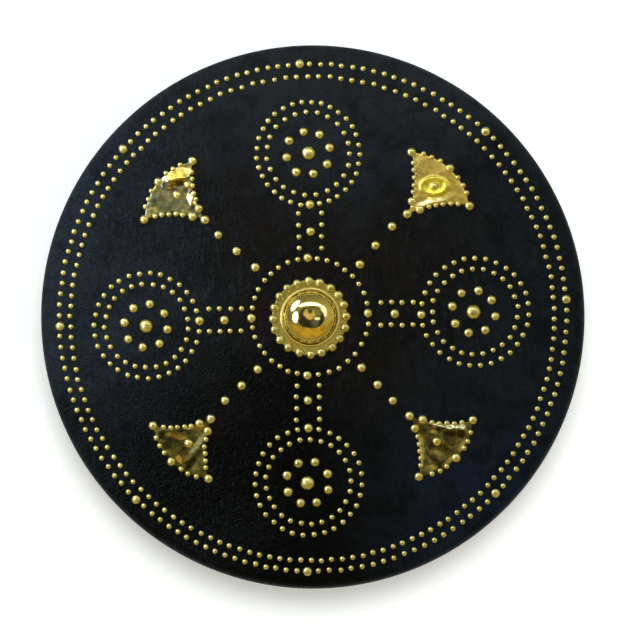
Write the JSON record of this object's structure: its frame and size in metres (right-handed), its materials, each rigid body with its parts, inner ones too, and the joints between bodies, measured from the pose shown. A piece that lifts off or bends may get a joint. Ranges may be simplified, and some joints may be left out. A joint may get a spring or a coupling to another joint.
{
  "type": "round shield",
  "caption": "Round wooden shield faced in black leather with brass nails, four brass plates and a domed boss, with an arm strap and a hand strap.",
  "frame": {"origin": "the surface that the straps rest on, below the centre of the disc", "axes": "+Z out of the front of the shield, +Y towards its top, +X to the right as seen from the front"},
  "size_m": [0.508, 0.508, 0.0822],
  "materials": {
    "black_leather": "smooth black leather with a fine grain and a satin gloss",
    "board_wood": "planed softwood, oiled",
    "strap_leather": "thick brown harness leather",
    "brass": "polished brass"
  },
  "bodies": {
    "root": {"arm_strap": "strap_leather", "boss": "brass", "hand_strap": "strap_leather", "leather_face": "black_leather", "plate_lower_left": "brass", "plate_lower_right": "brass", "plate_upper_left": "brass", "plate_upper_right": "brass", "stud_diagonal_lower_left_1": "brass", "stud_diagonal_lower_left_2": "brass", "stud_diagonal_lower_left_3": "brass", "stud_diagonal_lower_right_1": "brass", "stud_diagonal_lower_right_2": "brass", "stud_diagonal_lower_right_3": "brass", "stud_diagonal_upper_left_1": "brass", "stud_diagonal_upper_left_2": "brass", "stud_diagonal_upper_left_3": "brass", "stud_diagonal_upper_right_1": "brass", "stud_diagonal_upper_right_2": "brass", "stud_diagonal_upper_right_3": "brass", "stud_large_bottom": "brass", "stud_large_left": "brass", "stud_large_right": "brass", "stud_large_top": "brass", "stud_roundel_bottom_1": "brass", "stud_roundel_bottom_2": "brass", "stud_roundel_bottom_3": "brass", "stud_roundel_bottom_4": "brass", "stud_roundel_bottom_5": "brass", "stud_roundel_bottom_6": "brass", "stud_roundel_bottom_7": "brass", "stud_roundel_bottom_8": "brass", "stud_roundel_left_1": "brass", "stud_roundel_left_2": "brass", "stud_roundel_left_3": "brass", "stud_roundel_left_4": "brass", "stud_roundel_left_5": "brass", "stud_roundel_left_6": "brass", "stud_roundel_left_7": "brass", "stud_roundel_left_8": "brass", "stud_roundel_right_1": "brass", "stud_roundel_right_2": "brass", "stud_roundel_right_3": "brass", "stud_roundel_right_4": "brass", "stud_roundel_right_5": "brass", "stud_roundel_right_6": "brass", "stud_roundel_right_7": "brass", "stud_roundel_right_8": "brass", "stud_roundel_top_1": "brass", "stud_roundel_top_2": "brass", "stud_roundel_top_3": "brass", "stud_roundel_top_4": "brass", "stud_roundel_top_5": "brass", "stud_roundel_top_6": "brass", "stud_roundel_top_7": "brass", "stud_roundel_top_8": "brass", "wooden_board": "board_wood"}
  },
  "joints": []
}
